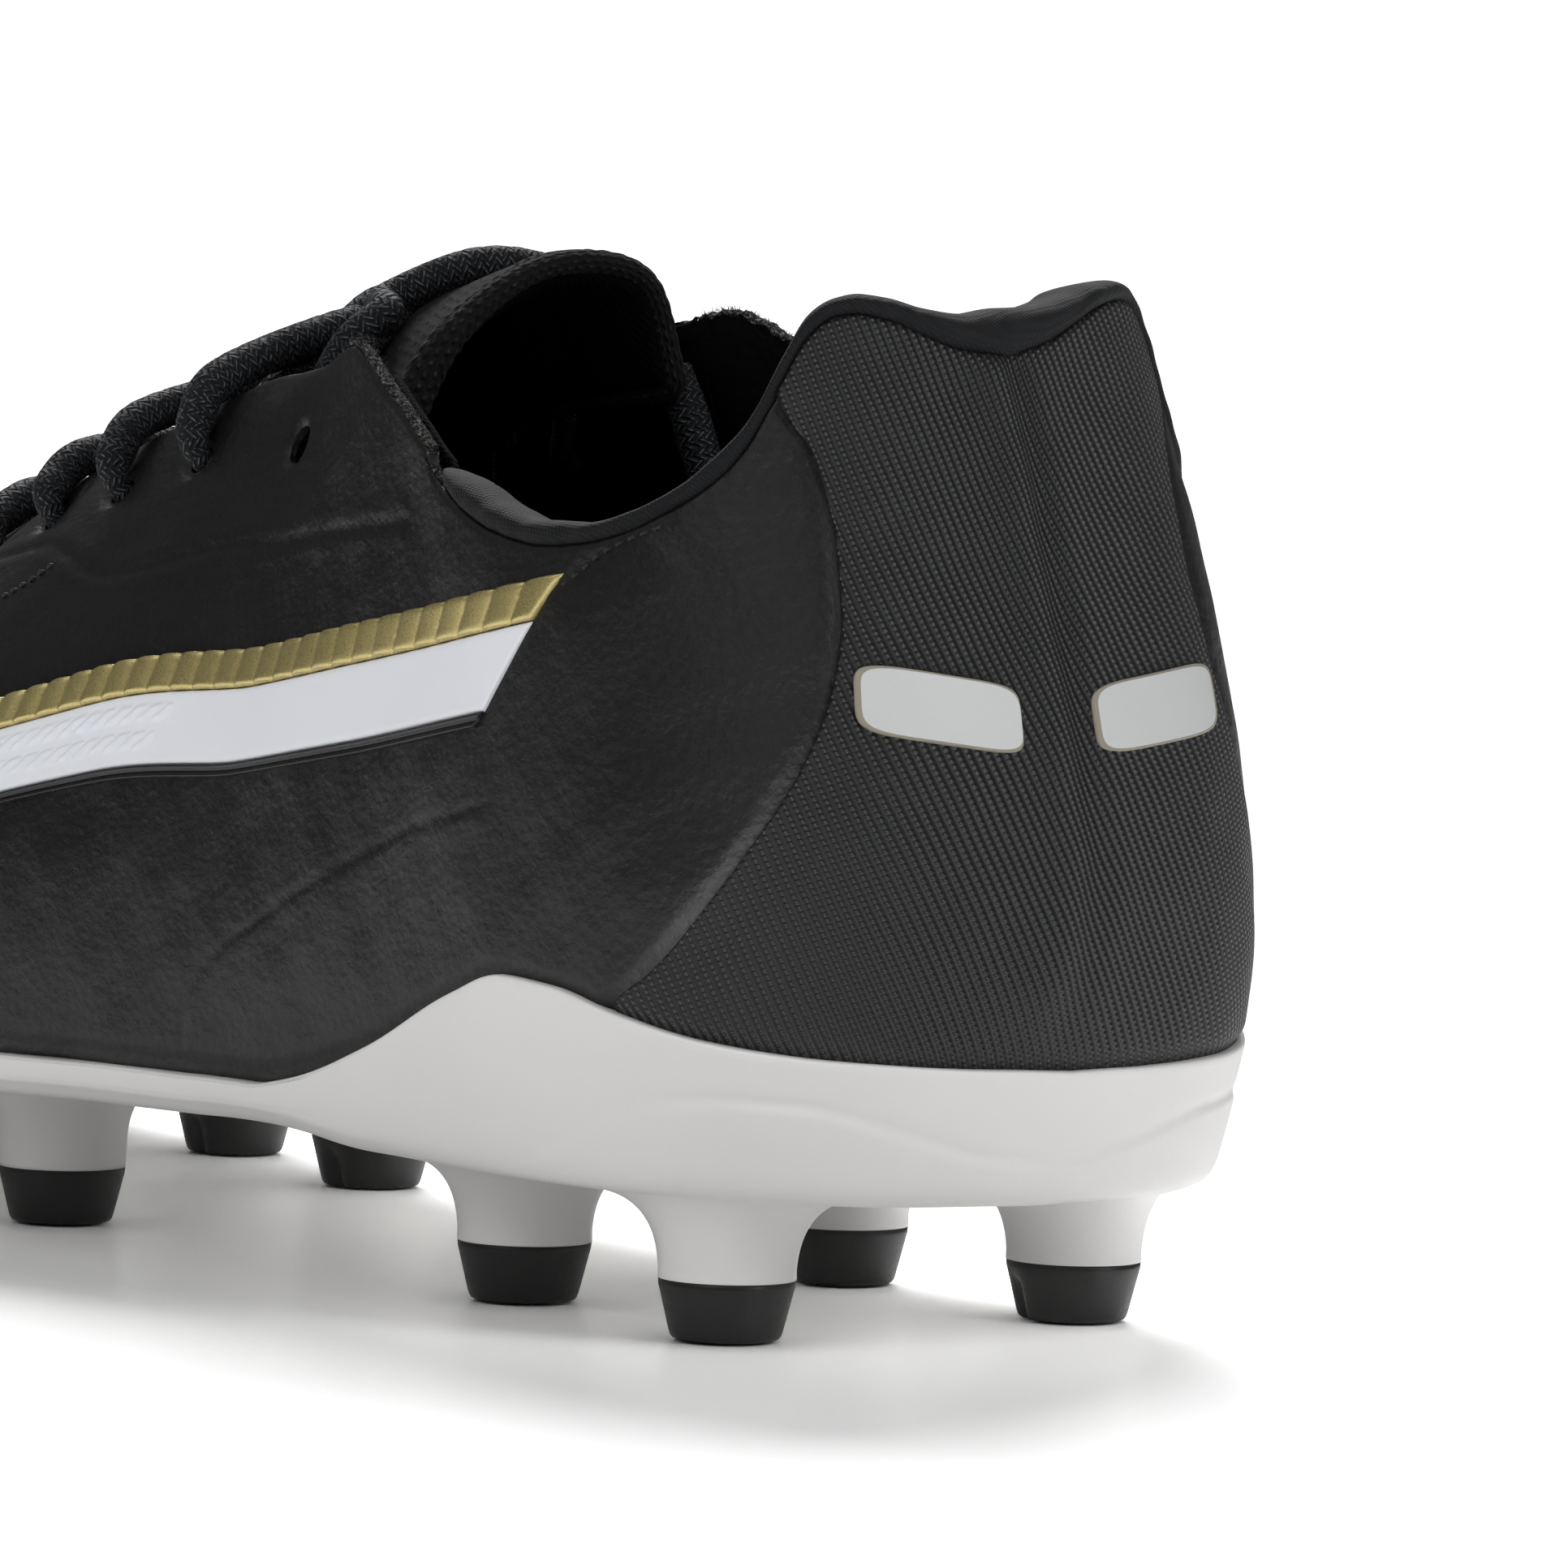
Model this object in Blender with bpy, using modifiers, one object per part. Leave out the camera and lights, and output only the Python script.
"""Soccer cleat, left shoe, firm-ground plate with two-shot studs.

Frame: metres, +Z up, toe towards -X, heel towards +X, lateral side -Y, medial side +Y,
origin on the ground under the middle of the shoe's bounding box.

Shapes are worked out in millimetres as (forward of the heel, across, up) and turned into
the frame by to_world. The upper is laid on one last surface, with three coordinates:
  station  0 at the heel centre, up the lateral side to 14 at the toe, back by the medial side
  height   0 at the feather edge (the last's lower edge), 1 at the top line
  offset   distance outwards from the last, mm
"along" is a station counted from the heel centre, 0 to 14, the same on both sides.
"""
import math

import bmesh
import bpy
import numpy as np
from mathutils import Matrix, Vector

# ---------------------------------------------------------------- driving dimensions (mm)
X_SHIFT = 139.3          # heel-back datum to the middle of the box, along the shoe
Y_SHIFT = 1.4            # datum centre line to the middle of the box, across the shoe
GAP = 0.35               # clearance between neighbouring pieces
LINING_T = 0.8           # lining thickness
STIFF_IN, STIFF_OUT = 1.25, 1.65      # offsets of counter, puff and eyestay backing
SKIN_IN, SKIN_OUT = 2.6, 3.8          # offsets of the outer leather
TRIM_IN, TRIM_T = 4.2, 0.5            # bands laid on the leather: offset, thickness
PIPING_T = 0.8
TUCK = 1.0               # how far the upper steps in under the plate's rim
PLATE_TOP = 2.0          # plate top above its lower edge
PLATE_EDGE_OUT = 3.9     # offset of the plate's wall at its foot
BOARD = (PLATE_TOP + GAP, 3.55)       # insole board, above the plate's lower edge
SOCK = (BOARD[1] + GAP, 6.7)          # sockliner, above the plate's lower edge
SOCK_HINGE = (273.0, 7.0, 25.4)       # sockliner's origin, at the toe
SIDES = ((-1, "lateral"), (1, "medial"))

# ---------------------------------------------------------------- last stations (mm)
# feather edge (forward, across, up), top line (forward, across, up),
# lower bulge (outwards, up), upper bulge (outwards, down)
LATERAL = [
    (6.0, 0.0, 15.5, 15.0, 0.0, 99.0, 11.0, 28.0, 0.0, 30.0),
    (9.5, -14.5, 15.5, 18.5, -13.0, 100.0, 10.5, 28.0, 1.5, 30.0),
    (20.5, -24.0, 15.5, 30.0, -21.5, 101.0, 9.5, 28.0, 3.0, 30.0),
    (38.0, -28.5, 15.5, 48.0, -24.5, 102.0, 8.0, 28.0, 3.0, 30.0),
    (60.0, -29.5, 15.8, 68.0, -21.5, 104.0, 7.0, 28.0, 3.0, 30.0),
    (84.0, -31.0, 16.2, 84.0, -14.0, 105.0, 6.5, 28.0, 6.0, 26.0),
    (108.0, -34.0, 16.2, 99.0, 0.0, 95.0, 6.0, 28.0, 19.0, 4.0),
    (132.0, -38.5, 15.5, 118.0, 0.5, 86.0, 5.5, 27.0, 22.0, 3.0),
    (156.0, -43.5, 14.2, 141.0, 1.0, 73.5, 4.5, 24.0, 24.0, 2.0),
    (180.0, -47.0, 13.4, 165.0, 2.0, 62.5, 3.5, 21.0, 25.0, 2.0),
    (205.0, -47.5, 13.6, 190.0, 4.0, 53.0, 3.0, 18.0, 26.0, 1.0),
    (230.0, -42.5, 15.0, 213.0, 6.0, 46.5, 2.5, 15.5, 24.0, 0.0),
    (251.0, -32.0, 17.5, 234.0, 8.0, 42.5, 2.5, 13.5, 20.0, 0.0),
    (268.0, -15.5, 20.0, 250.0, 9.5, 40.0, 2.5, 11.5, 14.0, 0.0),
    (275.0, 7.0, 21.5, 258.0, 10.5, 39.0, 2.5, 10.0, 10.0, 0.0),
]
MEDIAL = [
    (9.5, 16.0, 15.5, 18.5, 14.5, 100.0, 12.0, 28.0, 4.0, 30.0),
    (20.5, 26.0, 15.5, 30.0, 23.0, 101.0, 11.5, 28.0, 6.0, 30.0),
    (38.0, 29.0, 15.5, 48.0, 25.0, 102.0, 9.0, 28.0, 5.0, 30.0),
    (60.0, 27.5, 15.8, 68.0, 21.5, 104.0, 8.0, 30.0, 4.0, 30.0),
    (84.0, 25.5, 16.2, 84.0, 14.0, 105.0, 8.0, 32.0, 6.0, 26.0),
    (108.0, 26.0, 16.2, 99.0, 0.0, 95.0, 8.0, 32.0, 19.0, 4.0),
    (132.0, 29.5, 15.5, 118.0, 0.5, 86.0, 7.0, 29.0, 22.0, 3.0),
    (156.0, 35.0, 14.2, 141.0, 1.0, 73.5, 5.5, 25.0, 22.0, 2.0),
    (180.0, 40.5, 13.4, 165.0, 2.0, 62.5, 4.0, 22.0, 22.0, 2.0),
    (205.0, 44.5, 13.6, 190.0, 4.0, 53.0, 3.0, 18.5, 22.0, 1.0),
    (230.0, 44.5, 15.0, 213.0, 6.0, 46.5, 2.5, 15.5, 20.0, 0.0),
    (251.0, 38.5, 17.5, 234.0, 8.0, 42.5, 2.5, 13.5, 17.0, 0.0),
    (268.0, 26.5, 20.0, 250.0, 9.5, 40.0, 2.5, 11.5, 13.0, 0.0),
]
STATIONS = np.array(LATERAL + MEDIAL[::-1])
COUNT = len(STATIONS)
LATERAL_FORWARD, LATERAL_UP = STATIONS[:len(LATERAL), 0], STATIONS[:len(LATERAL), 2]


# ---------------------------------------------------------------- curves
def smoothstep(x):
    x = np.clip(x, 0.0, 1.0)
    return x * x * (3 - 2 * x)


def unit(vector):
    return vector / np.linalg.norm(vector, axis=-1, keepdims=True)


def catmull_rom(before, start, end, after, part):
    """Catmull-Rom span from start (part 0) to end (part 1)"""
    return 0.5 * (2 * start + (end - before) * part
                  + (2 * before - 5 * start + 4 * end - after) * part ** 2
                  + (3 * start - before - 3 * end + after) * part ** 3)


def extended(controls):
    """control points with one more mirrored on at each end"""
    return np.concatenate([2 * controls[:1] - controls[1:2], controls,
                           2 * controls[-1:] - controls[-2:-1]])


def smooth_path(controls, samples):
    """smooth polyline through control rows, a number of samples to each span"""
    rows = extended(np.asarray(controls, float))
    path = [catmull_rom(*rows[i - 1:i + 3], part)
            for i in range(1, len(rows) - 2)
            for part in np.linspace(0, 1, samples, endpoint=False)]
    return np.array(path + [rows[-2]])


def smooth_through(controls, where):
    """smooth curve through points stacked on the first axis, where from 0 to count - 1"""
    rows = extended(controls)
    span = np.clip(np.floor(where).astype(int), 0, len(controls) - 2)
    part = (where - span)[..., None]
    rest = np.indices(where.shape)
    return catmull_rom(*(rows[(span + i, *rest)] for i in range(4)), part)


def monotone(places, values):
    """smooth curve through control points without overshoot, level beyond its ends"""
    places, values = np.asarray(places, float), np.asarray(values, float)
    width = np.diff(places)
    chord = np.diff(values) / width
    slope = np.zeros_like(values)
    slope[0], slope[-1] = chord[0], chord[-1]
    for i in range(1, len(places) - 1):
        if chord[i - 1] * chord[i] > 0:
            weight0 = 2 * width[i] + width[i - 1]
            weight1 = width[i] + 2 * width[i - 1]
            slope[i] = (weight0 + weight1) / (weight0 / chord[i - 1] + weight1 / chord[i])

    def curve(x):
        x = np.clip(np.asarray(x, float), places[0], places[-1])
        i = np.clip(np.searchsorted(places, x) - 1, 0, len(width) - 1)
        part = (x - places[i]) / width[i]
        rest = 1 - part
        return (values[i] * (1 + 2 * part) * rest ** 2
                + width[i] * slope[i] * part * rest ** 2
                + values[i + 1] * part * part * (3 - 2 * part)
                + width[i] * slope[i + 1] * part * part * (part - 1))
    return curve


# ---------------------------------------------------------------- the last
def station_values(station):
    """columns of the station table at fractional stations, smooth and periodic"""
    station = np.asarray(station, float) % COUNT
    first = np.floor(station).astype(int)
    part = (station - first)[..., None]
    return catmull_rom(*(STATIONS[(first + i) % COUNT] for i in (-1, 0, 1, 2)), part)


def bare_last(station, height):
    """cubic Bezier from feather edge to top line, at offset 0"""
    values = station_values(station)
    step = station_values(station + 0.02) - station_values(station - 0.02)
    tangent = unit(step[..., 0:2])
    out = np.stack([tangent[..., 1], -tangent[..., 0], np.zeros_like(tangent[..., 0])], -1)
    up = np.array([0.0, 0.0, 1.0])
    edge, top = values[..., 0:3], values[..., 3:6]
    bulge_low = edge + out * values[..., 6, None] + up * values[..., 7, None]
    bulge_high = top + out * values[..., 8, None] - up * values[..., 9, None]
    height = height[..., None]
    rest = 1 - height
    return (edge * rest ** 3 + 3 * bulge_low * height * rest ** 2
            + 3 * bulge_high * height * height * rest + top * height ** 3)


def outward_normal(station, height):
    height = np.clip(height, 0.0, 0.96)            # the ridge itself is a pole at the toe
    below, above = np.clip(height - 0.01, 0, 1), np.clip(height + 0.01, 0, 1)
    normal = np.cross(bare_last(station + 0.03, height) - bare_last(station - 0.03, height),
                      bare_last(station, above) - bare_last(station, below))
    return normal / np.maximum(np.linalg.norm(normal, axis=-1, keepdims=True), 1e-9)


def broadcast(*values):
    return np.broadcast_arrays(*(np.asarray(value, float) for value in values))


def last(station, height, offset=0.0):
    """point (forward, across, up) at an offset from the last"""
    station, height, offset = broadcast(station, height, offset)
    return bare_last(station, height) + outward_normal(station, height) * offset[..., None]


def rise(station, lift, offset=0.0):
    """height at which the surface at an offset stands lift mm above the feather edge"""
    station, lift, offset = broadcast(station, lift, offset)
    target = station_values(station)[..., 2] + lift
    low, high = np.zeros_like(station), np.full_like(station, 0.6)
    for _ in range(22):
        middle = 0.5 * (low + high)
        above = last(station, middle, offset)[..., 2] > target
        high = np.where(above, middle, high)
        low = np.where(above, low, middle)
    return 0.5 * (low + high)


def along_of(station):
    station = np.asarray(station, float) % COUNT
    return np.minimum(station, COUNT - station)


def on_side(along, side):
    """station on the lateral side where side is negative, on the medial side elsewhere"""
    return np.where(side < 0, along, COUNT - along)


def side_point(along, height, offset, side):
    return last(on_side(along, side), height, offset)


def crown(along, offset):
    """point over the ridge, midway between the sides"""
    return 0.5 * (side_point(along, 0.985, offset, -1) + side_point(along, 0.985, offset, 1))


# ---------------------------------------------------------------- lines on the last
# each curve gives height from along, except panel_front
RIM_CLEAR, RIM_STEP = 0.004, 0.034     # panel rows at the plate's rim: clearance, next row
ROLL_END = 3.6                         # along where the collar line meets the raw edge
VAMP_SEAM = 9.7                        # along of the seam between quarters and vamp
SEAM_HALF = 0.02                       # half the opening of that seam

# low round the forefoot, a wing up each side of the heel
rim_wing = monotone(
    [0, 0.75, 1.33, 1.93, 2.31, 2.68, 3.0, 3.33, 4.02, 4.6, 5.2],
    [.128, .133, .140, .154, .173, .195, .200, .174, .098, .055, .03])
collar_top = monotone(
    [0, .37, .59, .78, .94, 1.10, 1.24, 1.38, 1.58, 1.77, 1.96, 2.15, 2.45, 2.75, 3.02, 3.27,
     ROLL_END],
    [.931, .926, .928, .934, .935, .928, .911, .866, .790, .750, .721, .700, .682, .682, .700,
     .724, .736])
# lower edge of the collar roll, where the leather starts
collar_skin = monotone(
    [0, .38, .60, .81, .96, 1.10, 1.24, 1.38, 1.58, 1.77, 1.96, 2.20, 2.45, 2.74, 3.05, 3.34,
     ROLL_END],
    [.880, .887, .898, .909, .912, .907, .885, .836, .761, .720, .693, .667, .652, .646, .654,
     .676, .708])
# raw edge of the quarter from the roll to the corner, then the eyestay edge to the throat
raw_edge = monotone(
    [ROLL_END, 4.01, 4.67, 5.2, 5.8, 6.4, 7.0, 7.6, 8.3, 9.0, 9.45, VAMP_SEAM],
    [.724, .762, .790, .750, .715, .705, .715, .745, .800, .862, .915, .955])
# front edge of the heel panel: along from height
panel_front = monotone(
    [0.0, .178, .217, .287, .355, .432, .517, .593, .661, .761, .809, 1.0],
    [2.42, 2.33, 2.11, 1.80, 1.55, 1.32, 1.16, 1.10, 1.11, 1.22, 1.38, 1.60])
band_middle = monotone(
    [2.5, 3.05, 4.05, 5.1, 6.1, 6.85, 7.6, 8.4, 9.3],
    [.598, .567, .508, .440, .386, .368, .35, .335, .315])


def rim(station):
    """top edge of the plate"""
    along = along_of(station)
    lowest = rise(station, 3.4 + 2.2 * smoothstep((along - 11) / 2.5), PLATE_EDGE_OUT)
    return np.maximum(rim_wing(along), lowest)


def tuck(station, height):
    """step inwards below the plate's rim, mm"""
    return TUCK * (1 - smoothstep((height - rim(station) + 0.005) / 0.03))


def skin_top(station):
    along = along_of(station)
    return np.where(along < ROLL_END, collar_skin(along), raw_edge(along))


def skin_low(station, offset):
    return rise(station, BOARD[0] + 0.05, offset - TUCK)


def rim_rows(station, top):
    """heights of the row on the plate's rim and of the row just clear of it"""
    at_rim = rim(station) + RIM_CLEAR
    return at_rim, np.minimum(at_rim + RIM_STEP, 0.5 * (at_rim + top))


def rise_rows(station, part, rows, low, top):
    """rows up a panel: sole edge, rim of the plate, just clear of it, then even steps to top"""
    row = np.rint(part * rows)
    at_rim, clear = rim_rows(station, top)
    lower = np.select([row <= 0, row <= 1, row <= 2], [low, 0.5 * (low + at_rim), at_rim], clear)
    return np.where(row > 3, clear + (top - clear) * (row - 3) / (rows - 3), lower)


# ---------------------------------------------------------------- scene helpers
for old in list(bpy.data.objects):
    bpy.data.objects.remove(old, do_unlink=True)

cleat = bpy.data.collections.new("soccer_cleat")
cutters = bpy.data.collections.new("cutters")
bpy.context.scene.collection.children.link(cleat)
bpy.context.scene.collection.children.link(cutters)

# base colour, roughness, metallic
FINISHES = {
    "plate": ((0.72, 0.71, 0.68), 0.45, 0.0), "tip": ((0.02, 0.02, 0.02), 0.5, 0.0),
    "leather": ((0.025, 0.025, 0.027), 0.45, 0.0), "twill": ((0.04, 0.04, 0.043), 0.7, 0.0),
    "lining": ((0.012, 0.012, 0.013), 0.9, 0.0), "roll": ((0.04, 0.045, 0.05), 0.8, 0.0),
    "foam": ((0.05, 0.05, 0.05), 0.95, 0.0), "board": ((0.35, 0.33, 0.30), 0.9, 0.0),
    "gold": ((0.42, 0.34, 0.12), 0.3, 0.8), "white": ((0.80, 0.81, 0.84), 0.5, 0.0),
    "piping": ((0.015, 0.015, 0.016), 0.5, 0.0), "knit": ((0.02, 0.02, 0.02), 0.9, 0.0),
    "lace": ((0.015, 0.015, 0.018), 0.8, 0.0), "stiff": ((0.20, 0.19, 0.17), 0.8, 0.0),
}


def add_material(ob, finish):
    colour, roughness, metallic = FINISHES[finish]
    mat = bpy.data.materials.new(ob.name + "_mat")
    mat.use_nodes = True
    shader = mat.node_tree.nodes["Principled BSDF"]
    shader.inputs["Base Color"].default_value = (*colour, 1)
    shader.inputs["Roughness"].default_value = roughness
    shader.inputs["Metallic"].default_value = metallic
    ob.data.materials.append(mat)


def to_world(points):
    points = np.asarray(points, float)
    x, y, z = points[..., 0], points[..., 1], points[..., 2]
    return np.stack([X_SHIFT - x, y + Y_SHIFT, z], -1) / 1000.0


def add_piece(name, data, finish, pivot=None):
    """visible object; a pivot moves its origin there without moving its shape"""
    ob = bpy.data.objects.new(name, data)
    cleat.objects.link(ob)
    add_material(ob, finish)
    if pivot is not None:
        origin = Vector(to_world(pivot).tolist())
        data.transform(Matrix.Translation(-origin))
        ob.location = origin
    return ob


def to_mesh(bm, name):
    mesh = bpy.data.meshes.new(name)
    bm.to_mesh(mesh)
    bm.free()
    return mesh


def smooth_mesh(bm, name):
    mesh = to_mesh(bm, name)
    mesh.shade_smooth()
    mesh.set_sharp_from_angle(angle=math.radians(40))
    return mesh


def add_cutter(name, bm):
    """helper for booleans, hidden from renders"""
    ob = bpy.data.objects.new(name, to_mesh(bm, name))
    cutters.objects.link(ob)
    ob.hide_render = True
    ob.display_type = "WIRE"
    return ob


def add_boolean(ob, other, operation):
    mod = ob.modifiers.new(operation.lower(), "BOOLEAN")
    mod.operation = operation
    mod.solver = "EXACT"
    mod.object = other


def thicken(ob, thickness):
    """thickness in mm, added on the side the normals point to"""
    mod = ob.modifiers.new("thickness", "SOLIDIFY")
    mod.thickness = thickness / 1000.0
    mod.offset = 1.0


def grid_bmesh(points, closed_rows=False, closed_columns=False):
    """quads over a grid of points, coincident points welded; closed_rows joins last row to first"""
    rows, columns = points.shape[:2]
    bm = bmesh.new()
    world = to_world(points)
    verts = [[bm.verts.new(world[i, j]) for j in range(columns)] for i in range(rows)]
    for i in range(rows if closed_rows else rows - 1):
        this, following = verts[i], verts[(i + 1) % rows]
        for j in range(columns if closed_columns else columns - 1):
            right = (j + 1) % columns
            bm.faces.new((this[j], this[right], following[right], following[j]))
    bmesh.ops.remove_doubles(bm, verts=bm.verts, dist=0.00002)
    bmesh.ops.dissolve_degenerate(bm, edges=bm.edges, dist=0.000005)
    return bm


def face_outwards(bm):
    """all faces wound the same way, pointing away from the inside of the foot"""
    bm.normal_update()
    bmesh.ops.recalc_face_normals(bm, faces=bm.faces)
    bm.normal_update()
    core_toe, core_heel = (X_SHIFT - 235) / 1000.0, (X_SHIFT - 30) / 1000.0
    score = 0.0
    for face in bm.faces:
        centre = face.calc_center_median()
        core = Vector((min(max(centre.x, core_toe), core_heel), Y_SHIFT / 1000.0, 0.032))
        score += face.normal.dot(centre - core) * face.calc_area()
    if score < 0:
        bmesh.ops.reverse_faces(bm, faces=bm.faces)


def shell(name, layout, columns, rows, offset, thickness, finish):
    """sheet at an offset from the last, stepping in under the plate's rim, then thickened

    layout turns (part along, part up, offset) into (station, height)
    """
    along_part, up_part = np.meshgrid(np.linspace(0, 1, columns + 1),
                                      np.linspace(0, 1, rows + 1), indexing="ij")
    station, height = layout(along_part, up_part, offset)
    bm = grid_bmesh(last(station, height, offset - tuck(station, height)))
    face_outwards(bm)
    ob = add_piece(name, smooth_mesh(bm, name), finish)
    thicken(ob, thickness)
    return ob


def loft(name, rings, finish, pivot=None):
    """solid through closed rings of points, with filled ends"""
    bm = grid_bmesh(rings, closed_columns=True)
    bmesh.ops.holes_fill(bm, edges=[e for e in bm.edges if e.is_boundary], sides=0)
    bmesh.ops.recalc_face_normals(bm, faces=bm.faces)
    return add_piece(name, smooth_mesh(bm, name), finish, pivot)


def cord(name, points, radii, finish, pivot=None):
    """round cord along a polyline, with filled ends"""
    curve = bpy.data.curves.new(name, "CURVE")
    curve.dimensions = "3D"
    curve.bevel_depth = 0.001          # 1 mm, so point radii are in mm
    curve.bevel_resolution = 1
    curve.use_fill_caps = True
    spline = curve.splines.new("POLY")
    spline.points.add(len(points) - 1)
    for knot, position, radius in zip(spline.points, to_world(points), radii):
        knot.co = (*position, 1)
        knot.radius = float(radius)
    add_piece(name, curve, finish, pivot)


# ---------------------------------------------------------------- layers under the foot
def spine(station, lift):
    """centre line under the foot, lift mm above the feather edge"""
    along = along_of(station)
    lateral, medial = station_values(along), station_values(COUNT - along)
    forward = np.clip(0.5 * (lateral[..., 0] + medial[..., 0]), 27.0, 246.0)
    across = 0.5 * (lateral[..., 1] + medial[..., 1])
    # straight at both ends
    across = np.where(along < 2.4, 0.5, np.where(along > 12.3, 5.0, across))
    up = np.interp(forward, LATERAL_FORWARD, LATERAL_UP)
    return np.stack([forward, across, up + lift], -1)


def round_shoe(count):
    return np.linspace(0, COUNT, count, endpoint=False)


def level_edge(station, height, offset, lift):
    """outline on the last, moved vertically to lift mm above the feather edge"""
    edge = last(station, height, offset)
    edge[:, 2] = station_values(station)[:, 2] + lift
    return edge


def make_slab(name, levels, offset, finish, pivot=None):
    """flat layer: sheet from spine to outline, thickened upwards"""
    low, top = levels
    station = round_shoe(40)
    middle = spine(station, low)
    # the narrower of the outlines at the layer's bottom and top
    edges = [level_edge(station, rise(station, level), offset, low) for level in (low, top)]
    low_reach, top_reach = (np.linalg.norm((edge - middle)[:, :2], axis=1) for edge in edges)
    edge = np.where((low_reach < top_reach)[:, None], *edges)
    rows = [middle * (1 - part) + edge * part for part in (0.0, 0.55, 1.0)]
    bm = grid_bmesh(np.stack(rows, 1), closed_rows=True)
    bmesh.ops.recalc_face_normals(bm, faces=bm.faces)
    bm.normal_update()
    if sum(face.normal.z for face in bm.faces) < 0:
        bmesh.ops.reverse_faces(bm, faces=bm.faces)
    thicken(add_piece(name, smooth_mesh(bm, name), finish, pivot), top - low)


# ---------------------------------------------------------------- plate and studs
STUD_SPLIT = 5.5         # underside of the white base, above the ground
TIP_H = 5.2              # black tip, standing on the ground
TIP_R_TOP, TIP_R_BOT = 6.1, 5.0
STUDS = [                # forward of heel, across, name
    (23.5, -19.9, "heel_rear_lateral"), (23.5, 19.9, "heel_rear_medial"),
    (57.1, -18.5, "heel_front_lateral"), (57.1, 18.5, "heel_front_medial"),
    (132.0, -21.5, "ball_rear_lateral"), (149.5, 27.5, "ball_rear_medial"),
    (168.0, -34.0, "ball_mid_lateral"), (184.0, 33.5, "ball_mid_medial"),
    (203.0, -36.0, "ball_front_lateral"), (216.0, 34.5, "ball_front_medial"),
    (234.0, -23.0, "toe_lateral"), (246.0, 20.0, "toe_medial"),
]


def add_stud_base(bm, forward, across):
    """12-sided base rising into the plate, flared towards the middle of the shoe"""
    along = float(np.interp(forward, LATERAL_FORWARD, np.arange(len(LATERAL))))
    plate_z = float(station_values(along)[2])
    profile = [          # up, radius, flare as a part of the radius
        (STUD_SPLIT, 6.25, 0.0), (plate_z * 0.62, 6.8, 0.0),
        (plate_z - 1.6, 7.6, 0.12), (plate_z + 1.0, 9.4, 0.25),
    ]
    rings = []
    for z, radius, flare in profile:
        ring = []
        for i in range(12):
            cosine, sine = math.cos(i * math.tau / 12), math.sin(i * math.tau / 12)
            wide = radius * (1 + flare * max(0.0, -sine * math.copysign(1, across)))
            point = to_world((forward + radius * cosine, across + wide * sine, z))
            ring.append(bm.verts.new(point.tolist()))
        rings.append(ring)
    for low, high in zip(rings, rings[1:]):
        for i in range(12):
            j = (i + 1) % 12
            bm.faces.new((low[i], high[i], high[j], low[j]))
    bm.faces.new(rings[0])
    bm.faces.new(rings[-1][::-1])


def make_plate():
    station = round_shoe(56)
    top = rim(station)
    inner, outer = SKIN_OUT - TUCK + GAP + 0.4, SKIN_OUT + 0.55
    inside = rise(station, PLATE_TOP, inner)
    outside = rise(station, 1.2, PLATE_EDGE_OUT)
    top_middle, bottom_middle = spine(station, PLATE_TOP), spine(station, 0.0)
    top_edge = level_edge(station, inside, inner, PLATE_TOP)
    bottom_edge = level_edge(station, rise(station, 0.35), 2.6, 0.0)
    columns = [          # floor, up the inner wall, over the rim, down the outside, underside
        top_middle,
        top_middle * 0.4 + top_edge * 0.6,
        top_edge,
        last(station, inside + (top - inside) * 0.5, inner),
        last(station, top, inner),
        last(station, top, outer),
        last(station, outside + (top - outside) * 0.62, outer),
        last(station, outside + (top - outside) * 0.30, outer - 0.1),
        last(station, outside, PLATE_EDGE_OUT),
        bottom_edge,
        bottom_middle * 0.45 + bottom_edge * 0.55,
        bottom_middle,
    ]
    bm = grid_bmesh(np.stack(columns, 1), closed_rows=True)
    bmesh.ops.recalc_face_normals(bm, faces=bm.faces)
    plate = add_piece("outsole_plate", smooth_mesh(bm, "outsole_plate"), "plate")

    bases = bmesh.new()
    for forward, across, _ in STUDS:
        add_stud_base(bases, forward, across)
    bmesh.ops.recalc_face_normals(bases, faces=bases.faces)
    add_boolean(plate, add_cutter("stud_bases", bases), "UNION")


def make_tips():
    for forward, across, label in STUDS:
        bpy.ops.mesh.primitive_cone_add(
            vertices=16, radius1=TIP_R_BOT / 1000, radius2=TIP_R_TOP / 1000,
            depth=TIP_H / 1000, location=(0, 0, 0))
        tip = bpy.context.active_object
        for collection in list(tip.users_collection):
            collection.objects.unlink(tip)
        cleat.objects.link(tip)
        tip.name = tip.data.name = "stud_tip_" + label
        tip.location = to_world((forward, across, TIP_H / 2)).tolist()
        add_material(tip, "tip")
        bevel = tip.modifiers.new("edge", "BEVEL")
        bevel.width = 0.0006
        bevel.segments = 1
        bevel.limit_method = "ANGLE"


# ---------------------------------------------------------------- upper panels
PANEL_ROWS = 9           # steps up the quarters and the heel panel
SEAM_PASSES = 12         # passes to fit a panel's end to the slanting heel seam
SKIN_T = SKIN_OUT - SKIN_IN
STIFF_T = STIFF_OUT - STIFF_IN
EYELET_R = 1.85
EYELETS = [              # along, height; from the throat up
    (8.72, .745), (8.12, .700), (7.50, .655), (6.92, .630), (6.31, .620), (5.27, .660)]


def panel_rows(station, part, offset):
    return rise_rows(station, part, PANEL_ROWS, skin_low(station, offset), skin_top(station))


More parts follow.
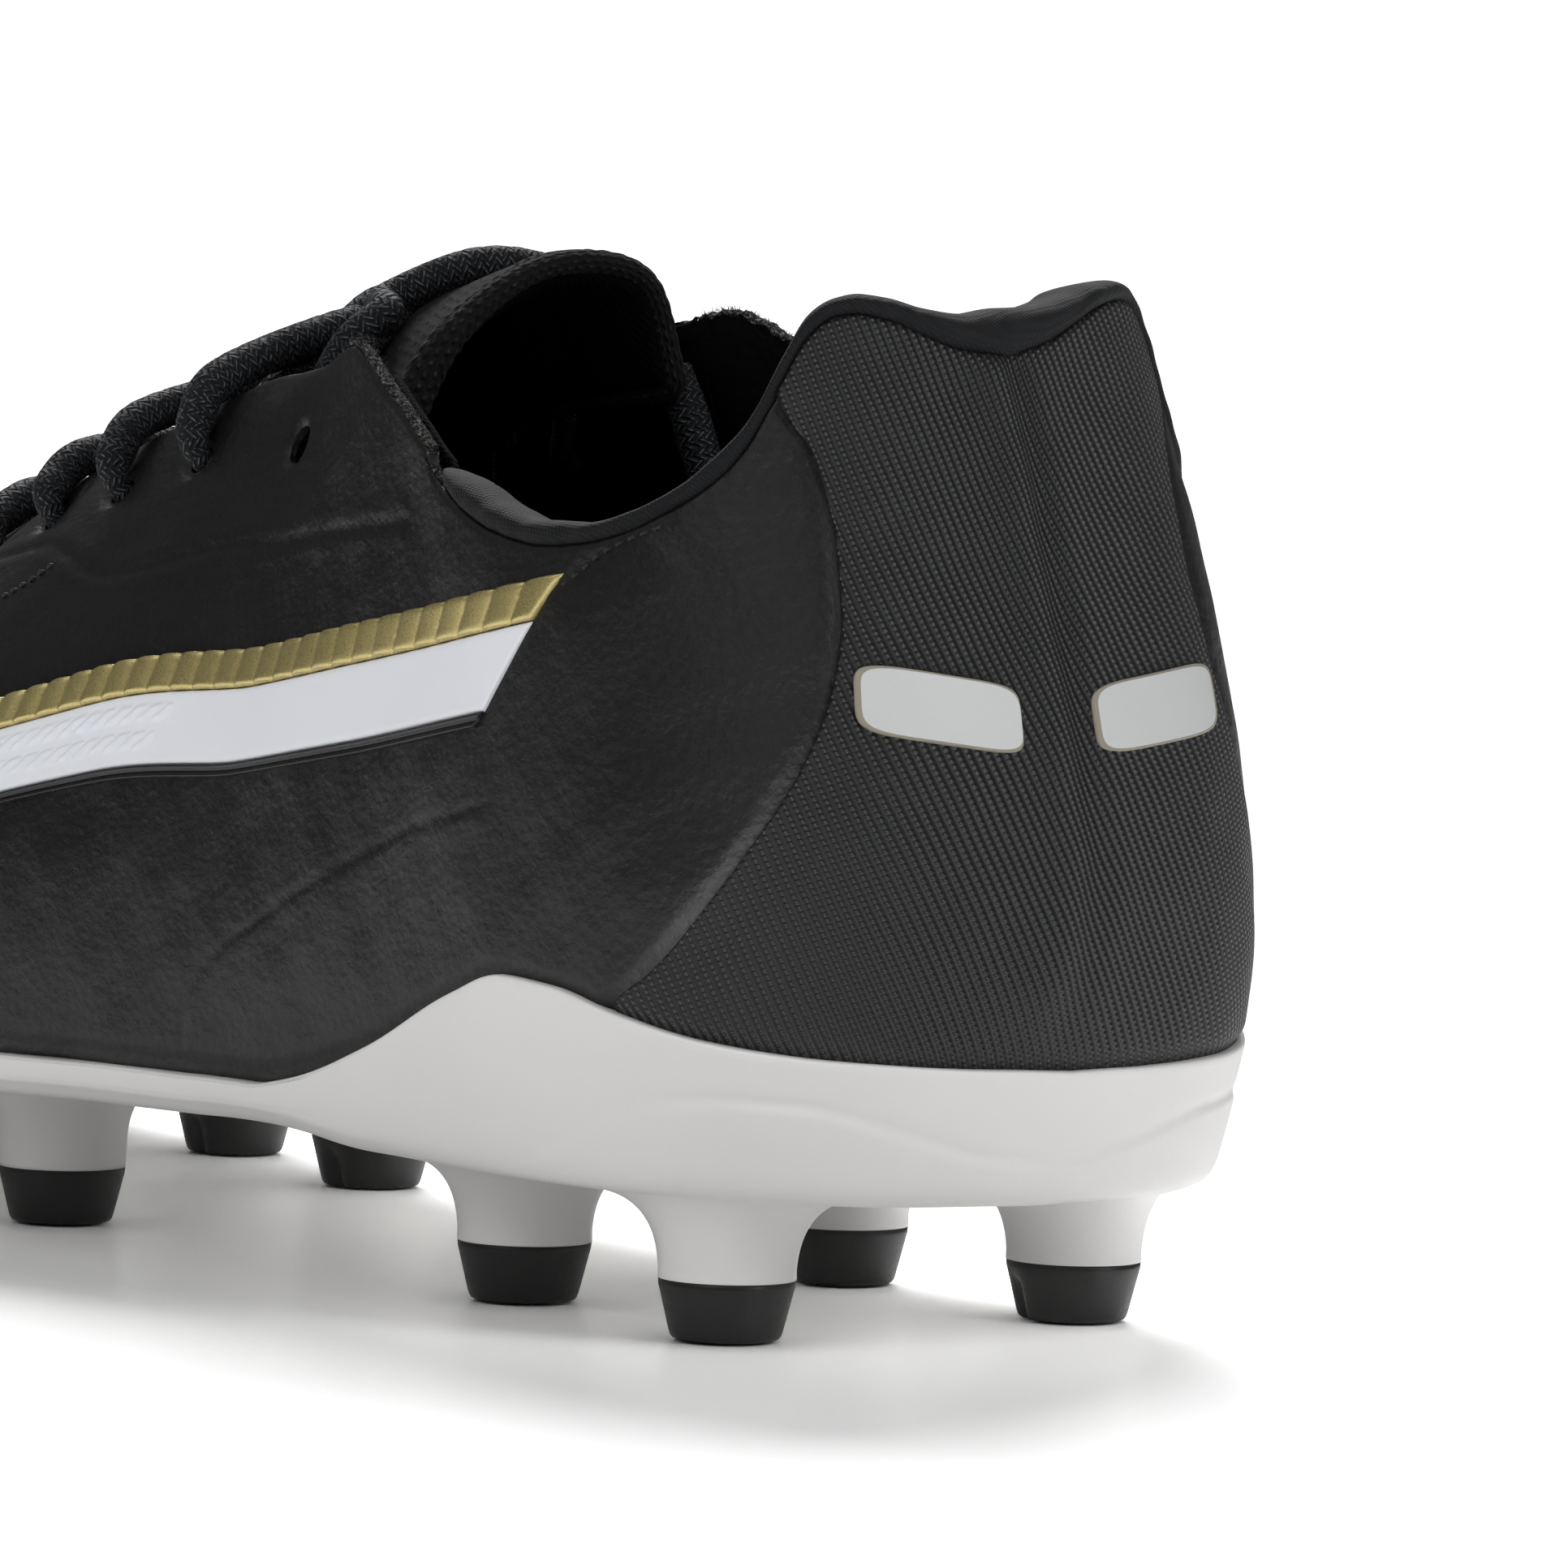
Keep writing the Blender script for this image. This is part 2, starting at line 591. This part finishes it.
def quarter_layout(side):
    """from the heel panel's front edge to the vamp seam, sole to top edge"""
    def layout(along_part, up_part, offset):
        end = VAMP_SEAM - SEAM_HALF
        along = 2.0 + (end - 2.0) * along_part
        for _ in range(SEAM_PASSES):
            height = panel_rows(on_side(along, side), up_part, offset)
            start = panel_front(height) + 0.035
            along = start + (end - start) * np.power(along_part, 0.92)
        station = on_side(along, side)
        return station, panel_rows(station, up_part, offset)
    return layout


def heel_panel_layout(along_part, up_part, offset):
    """round the heel, medial seam to lateral seam"""
    spread = 2 * along_part - 1
    along = np.abs(spread) * 1.5
    for _ in range(SEAM_PASSES):
        height = panel_rows(on_side(along, -spread), up_part, offset)
        along = np.abs(spread) * (panel_front(height) - 0.03)
    return on_side(along, -spread), height


def counter_layout(along_part, up_part, offset):
    """round the heel, highest at the back"""
    spread = 2 * along_part - 1
    station = on_side(np.abs(spread) * 3.9, -spread)
    top = 0.60 - 0.30 * smoothstep(np.abs(spread) * 1.05) ** 1.5
    low = skin_low(station, offset) + 0.008
    return station, rise_rows(station, up_part, 8, low, top)


def eyestay_layout(side):
    """strip just below the eyestay edge, narrower towards the throat"""
    def layout(along_part, up_part, offset):
        along = 5.04 + (9.25 - 5.04) * along_part
        width = 0.155 - 0.03 * along_part
        return on_side(along, side), raw_edge(along) - 0.012 - width * (1 - up_part)
    return layout


def make_over_toe(name, start, lift, columns, offset, thickness, finish):
    """sheet over the forefoot between the feather edges, from start to the toe"""
    rows = 16

    def layout(along_part, up_part, offset):
        spread = 2 * up_part - 1
        station = on_side(start + (14.0 - start) * along_part, spread)
        low = skin_low(station, offset) + lift
        return station, rise_rows(station, 1 - np.abs(spread), rows // 2, low, 1.0)
    shell(name, layout, columns, rows, offset, thickness, finish)


def eyelet_cutters(side, label):
    """pins through quarter and backing"""
    bm = bmesh.new()
    for along, height in EYELETS:
        start = to_world(side_point(along, height, -1.5, side))
        end = to_world(side_point(along, height, 6.0, side))
        axis = Vector((end - start).tolist())
        matrix = axis.to_track_quat("Z", "Y").to_matrix().to_4x4()
        matrix.translation = Vector(((start + end) / 2).tolist())
        bmesh.ops.create_cone(bm, cap_ends=True, segments=8, radius1=EYELET_R / 1000,
                              radius2=EYELET_R / 1000, depth=axis.length, matrix=matrix)
    return add_cutter("eyelets_" + label, bm)


def make_upper():
    for side, label in SIDES:
        holes = eyelet_cutters(side, label)
        quarter = shell("quarter_" + label, quarter_layout(side), 20, PANEL_ROWS,
                        SKIN_IN, SKIN_T, "leather")
        add_boolean(quarter, holes, "DIFFERENCE")
        backing = shell("eyestay_backing_" + label, eyestay_layout(side), 12, 2,
                        STIFF_IN, STIFF_T, "stiff")
        add_boolean(backing, holes, "DIFFERENCE")
    shell("heel_panel", heel_panel_layout, 16, PANEL_ROWS, SKIN_IN, SKIN_T, "twill")
    seam = VAMP_SEAM + SEAM_HALF
    make_over_toe("vamp", seam, 0.0, 10, SKIN_IN, SKIN_T, "leather")
    make_over_toe("toe_puff", 12.1, 0.01, 5, STIFF_IN, STIFF_T, "stiff")
    make_over_toe("vamp_lining", seam, 0.004, 10, 0.0, LINING_T, "lining")
    shell("heel_counter", counter_layout, 24, 8, STIFF_IN, STIFF_T, "stiff")


# ---------------------------------------------------------------- collar
FOAM_END = 3.3           # along of the padding's front ends
FOAM_STATIONS = np.linspace(-FOAM_END, FOAM_END, 25)
ROLL_STATIONS = np.linspace(-3.5, 3.5, 41)
ROLL_PROFILE = [         # part of the roll's height, offset
    (0.0, 2.6), (0.0, 3.7), (0.35, 4.3), (0.80, 3.6),
    (1.0, 1.2), (0.90, -0.5), (0.45, -1.1), (0.0, -0.8)]


def pad_rows(station):
    """heights where the lining starts and ends its bend into the pad, and its top"""
    along = along_of(station)
    # below the collar line at the back, below the eyestay backing further forward
    full = skin_top(station) - 0.012
    cut = raw_edge(along) - 0.215 + 0.006 * (along - 4.9)
    forward = smoothstep((along - 4.5) / 0.5)
    top = full * (1 - forward) + cut * forward
    return top - 0.20, top - 0.10, top


def pad_depth(along):
    """how far the padded collar stands into the shoe"""
    return 3.0 * (1 - smoothstep((along - 2.2) / 1.1))


def make_collar_foam():
    """padding between counter and lining"""
    station = FOAM_STATIONS
    bend_start, bend_end, top = pad_rows(station)
    depth = pad_depth(along_of(station))
    bottom = bend_start * 0.6 + bend_end * 0.4
    inner = LINING_T + 0.5
    ring = [last(station, height, STIFF_OUT) for height in (bottom, bend_end, top)]
    ring += [last(station, top, inner - depth), last(station, bend_end, inner - depth),
             last(station, bottom, inner + 0.1 - 0.4 * depth)]
    loft("collar_foam", np.stack(ring, 1), "foam")


def make_quarter_lining():
    """lining of both quarters, one piece round the heel"""
    front = np.linspace(FOAM_END + 0.5, VAMP_SEAM - 0.03, 10)
    station = np.concatenate([-front[::-1], FOAM_STATIONS, front])
    bend_start, bend_end, top = pad_rows(station)
    depth = pad_depth(along_of(station))
    low = skin_low(station, 0.0) + 0.004
    at_rim, clear = rim_rows(station, bend_start)
    rows = [             # height, distance into the shoe
        (low, 0.0), (0.5 * (low + at_rim), 0.0), (at_rim, 0.0), (clear, 0.0),
        (0.5 * (clear + bend_start), 0.0), (bend_start, 0.0), (bend_end, depth), (top, depth)]
    outer, inner = [], []
    for height, inwards in rows:
        step = inwards + tuck(station, height)
        outer.append(last(station, height, LINING_T - step))
        inner.append(last(station, height, -step))
    loft("quarter_lining", np.stack(outer + inner[::-1], 1), "lining")


def make_collar_roll():
    """soft roll round the top line"""
    along = along_of(ROLL_STATIONS)
    bottom = collar_skin(along) + 0.015
    tall = np.maximum(collar_top(along) - bottom, 0.010)
    ring = []
    for part, offset in ROLL_PROFILE:
        # the inner part follows the pad into the shoe
        follow = 0.9 if offset < 0 else 0.35 if offset <= 1.2 else 0.0
        ring.append(last(ROLL_STATIONS, bottom + tall * part, offset - pad_depth(along) * follow))
    loft("collar_roll", np.stack(ring, 1), "roll")


# ---------------------------------------------------------------- trim
BAND_START, BAND_END = 2.62, 8.9       # along
BANDS = [                # name, lower and upper edge from the band line (mm), thickness, finish
    ("gold", -1.6, 1.9, TRIM_T, "gold"),
    ("white", -9.0, -1.95, TRIM_T, "white"),
    ("piping", -10.3, -9.35, PIPING_T, "piping"),
]


def band_layout(side, low, high):
    def layout(along_part, up_part, offset):
        along = BAND_START + (BAND_END - BAND_START) * along_part
        station, middle = on_side(along, side), band_middle(along)
        step = np.linalg.norm(last(station, middle + 0.01) - last(station, middle), axis=-1)
        per_mm = 0.01 / step
        return station, middle + (low + (high - low) * up_part) * per_mm
    return layout


def make_side_bands():
    for side, label in SIDES:
        for name, low, high, thickness, finish in BANDS:
            shell(f"side_band_{name}_{label}", band_layout(side, low, high), 18, 1,
                  TRIM_IN, thickness, finish)


def make_badges():
    """plain rounded bar on each side of the heel"""
    for side, label in SIDES:
        def layout(along_part, up_part, offset, side=side):
            end_round = np.clip(1 - np.abs(2 * along_part - 1) ** 6, 0.05, 1)
            half = 0.035 * np.sqrt(end_round)
            middle = 0.50 + 0.02 * (along_part - 0.5)
            return on_side(0.25 + 0.80 * along_part, side), middle + half * (2 * up_part - 1)
        shell("heel_badge_" + label, layout, 6, 1, TRIM_IN, TRIM_T, "white")


# ---------------------------------------------------------------- tongue
TONGUE_HINGE = (170.0, 2.5, 56.0)      # stitched edge at the throat
TONGUE_OUT = -2.8                      # offset of the tongue's outer face
COVER_T = 0.9
PADDING_TOP, PADDING_BOTTOM = 1.8, 3.0           # depths below the outer face
TONGUE_START, TONGUE_END = 9.95, 6.05            # along, at the throat and below the free end
EDGE_START, EDGE_END = 0.16, 0.27                # drop in height from ridge to tongue edge
# free end, lateral edge to medial edge: forward, across, up
ARCH = np.array([(84.0, -18.5, 79.5), (84.2, -11.5, 90.0), (85.0, 0.0, 96.5),
                 (84.8, 10.5, 96.5), (84.0, 15.0, 84.0)])


def tongue_point(length, width, offset):
    """length 0 at the throat to 1 at the free end; width -1 lateral edge to 1 medial edge"""
    length, width, offset = broadcast(length, width, offset)
    along = TONGUE_START - (TONGUE_START - TONGUE_END) * np.minimum(length / 0.80, 1.0)
    drop = EDGE_START + (EDGE_END - EDGE_START) * smoothstep(np.minimum(length / 0.6, 1.0))
    crest = crown(along, 0.0) + np.array([0, 0, 1.0]) * (offset - 0.6)[..., None]
    ribs = np.stack([side_point(along, 1 - drop, offset, -1),
                     side_point(along, 1 - 0.5 * drop, offset, -1),
                     crest,
                     side_point(along, 1 - 0.5 * drop, offset, 1),
                     side_point(along, 1 - drop, offset, 1)])
    where = (width + 1) * 2.0
    base = smooth_through(ribs, where)
    # free end: an arch that stands up behind the laces
    arch = ARCH.reshape((5,) + (1,) * width.ndim + (3,))
    free = smooth_through(np.broadcast_to(arch, (5,) + width.shape + (3,)), where)
    mix = smoothstep((length - 0.76) / 0.24)[..., None]
    return base * (1 - mix) + free * mix


def tongue_layer(name, start, end, top, bottom, finish, edge=1.0):
    """layer between two depths below the tongue's outer face"""
    length, width = np.broadcast_arrays(
        np.linspace(start, end, 13)[:, None], np.clip(np.linspace(-1, 1, 9), -edge, edge)[None])
    face = tongue_point(length, width, TONGUE_OUT)
    down_tongue = (tongue_point(np.clip(length + 0.04, 0, 1), width, TONGUE_OUT)
                   - tongue_point(np.clip(length - 0.04, 0, 1), width, TONGUE_OUT))
    across = (tongue_point(length, np.clip(width + 0.12, -1, 1), TONGUE_OUT)
              - tongue_point(length, np.clip(width - 0.12, -1, 1), TONGUE_OUT))
    normal = unit(np.cross(across, down_tongue))
    outer, inner = face - normal * top, face - normal * bottom
    loft(name, np.concatenate([outer, inner[:, ::-1]], 1), finish, TONGUE_HINGE)


def make_tongue():
    tongue_layer("tongue_cover", 0.0, 1.0, 0.0, COVER_T, "knit")
    tongue_layer("tongue_padding", 0.01, 0.98, PADDING_TOP, PADDING_BOTTOM, "foam", edge=0.95)


def make_lace_keeper():
    """flat tape across the tongue"""
    middle, half, lift, thickness = 0.42, 0.02, 0.3, 0.8
    width = np.linspace(-0.30, 0.30, 9)
    low, high = TONGUE_OUT + lift, TONGUE_OUT + lift + thickness
    corners = [(middle - half, low), (middle + half, low),
               (middle + half, high), (middle - half, high)]
    ring = [tongue_point(length, width, offset) for length, offset in corners]
    loft("tongue_lace_keeper", np.stack(ring, 1), "knit", TONGUE_HINGE)


# ---------------------------------------------------------------- laces
# lace rows are (forward, across, up, radius)
LACE_R = 2.1             # free
LACE_R_IN = 1.3          # squeezed in an eyelet or under the eyestay
LACE_R_MOUTH = 1.6       # just outside an eyelet
LACE_R_EXIT = 1.9        # coming out from under the eyestay


def under_eyestay(eyelet, exit_along, side):
    """from an eyelet along the inside to the eyestay edge"""
    along, height = eyelet
    exit_height = raw_edge(exit_along) - 0.02
    return [
        (*side_point(along, height, 0.4, side), LACE_R_IN),
        (*side_point(along - 0.06, height + 0.02, -0.75, side), LACE_R_IN),
        (*side_point(exit_along + 0.02, exit_height, -0.85, side), LACE_R_IN),
    ]


def crossing(index, side):
    """from one eyelet, out over the ridge, to the outside of the next eyelet across the throat"""
    along, height = EYELETS[index + 1]
    leave = EYELETS[index][0] - 0.20
    leave_edge = raw_edge(leave)
    land = along + 0.16
    land_edge = raw_edge(land)
    middle = 0.5 * (leave + land)
    over = 4.9 if side < 0 else 0.8    # runs that start on the lateral side pass on top
    ridge = crown(middle, over)
    climb = side_point(leave - 0.1, leave_edge + 0.10, 0.8, side)
    descent = side_point(land + 0.05, land_edge + 0.06, 5.4, -side)
    return under_eyestay(EYELETS[index], leave, side) + [
        (*side_point(leave - 0.05, leave_edge + 0.05, -0.2, side), LACE_R_EXIT),
        (*(0.5 * (climb + ridge)), LACE_R),
        (*crown(middle, over + 0.3), LACE_R),
        (*(0.5 * (descent + ridge) + np.array([0, 0, 0.8])), LACE_R),
        (*side_point(land, land_edge + 0.01, 6.3, -side), LACE_R),
        (*side_point(along + 0.07, height + 0.035, 6.3, -side), LACE_R),
        (*side_point(along + 0.01, height + 0.008, 5.2, -side), LACE_R_MOUTH),
        (*side_point(along, height, 3.2, -side), LACE_R_IN),
    ]


def tail_path(side):
    """free end of the lace inside the shoe, hanging beside the tongue"""
    if side < 0:
        spots = [(5.62, 0.640, -2.0), (5.52, 0.59, -3.0), (5.40, 0.52, -3.6), (5.28, 0.45, -4.0)]
        return np.array([side_point(*spot, side) for spot in spots])
    return np.array([(86.6, 17.4, 85.6), (83.6, 18.0, 80.0), (81.2, 19.0, 72.0),
                     (79.5, 19.6, 62.5)])


def strand(side):
    """from the lowest eyelet on one side, up the throat, to the tuck beside the tongue"""
    rows = []
    for i in range(len(EYELETS) - 2):
        rows += crossing(i, side * (-1) ** i)
    # four crossings bring the lace back to the side it started on
    eyelet = EYELETS[len(EYELETS) - 2]
    leave = eyelet[0] - 0.26
    start = side_point(leave - 0.12, raw_edge(leave) + 0.07, 0.6, side)
    top = crown(6.12, 5.0) if side < 0 else crown(6.25, 0.5)
    tail = tail_path(-side)
    tail_start = tail[0] + unit(tail[0] - tail[1]) * 1.0
    rows += under_eyestay(eyelet, leave, side) + [
        (*start, LACE_R_EXIT),
        (*(0.5 * (start + top) + np.array([0, 0, 1.2])), LACE_R),
        (*top, LACE_R),
    ]
    if side > 0:
        # slips between tongue and lateral eyestay, down to the free tail
        return rows + [
            (*(0.5 * (top + side_point(5.85, 0.80, 0.3, -1))), LACE_R),
            (*side_point(5.82, 0.775, -0.4, -1), 1.7),
            (*side_point(5.74, 0.72, -0.80, -1), LACE_R_IN),
            (*side_point(5.68, 0.675, -1.1, -1), LACE_R_IN),
            (*tail_start, LACE_R_IN),
        ]
    # over the tongue and down between it and the medial quarter
    return rows + [
        (*(top + np.array([-3.0, 6.5, 0.2])), LACE_R),
        (*(top + np.array([-6.2, 12.2, -3.6])), LACE_R),
        (*(tail[0] + np.array([4.8, -1.2, 5.4])), 2.0),
        (*tail_start, LACE_R),
    ]


def half_bar(side):
    """bottom bar of the lace, from the lowest eyelet up to the eyestay edge"""
    along, height = EYELETS[0]
    return [
        (*side_point(along, height, 3.2, side), LACE_R_IN),
        (*side_point(along, height + 0.008, 5.2, side), LACE_R_MOUTH),
        (*side_point(along, height + 0.04, 6.3, side), LACE_R),
        (*side_point(along, raw_edge(along) + 0.02, 6.2, side), LACE_R),
    ]


def make_laces():
    bar = half_bar(-1) + [(*crown(EYELETS[0][0], 4.0), LACE_R)] + half_bar(1)[::-1]
    path = smooth_path(strand(-1)[::-1] + bar + strand(1), 2)
    cord("lace", path[:, :3], np.minimum(path[:, 3], LACE_R), "lace")
    for side, label in SIDES:
        controls = tail_path(side)
        tail = smooth_path(controls, 2)
        cord("lace_tail_" + label, tail, [LACE_R] * len(tail), "lace", controls[0])
        direction = unit(tail[-1] - tail[-2])
        aglet = np.array([tail[-1] + direction * (GAP + reach) for reach in (0.0, 6.0, 12.0)])
        cord("aglet_" + label, aglet, [1.5, 1.5, 1.3], "piping", controls[0])


make_plate()
make_tips()
make_slab("insole_board", BOARD, -0.4 - TUCK, "board")
make_slab("sockliner", SOCK, -1.3 - TUCK, "lining", SOCK_HINGE)
make_upper()
make_collar_foam()
make_quarter_lining()
make_collar_roll()
make_side_bands()
make_badges()
make_tongue()
make_laces()
make_lace_keeper()
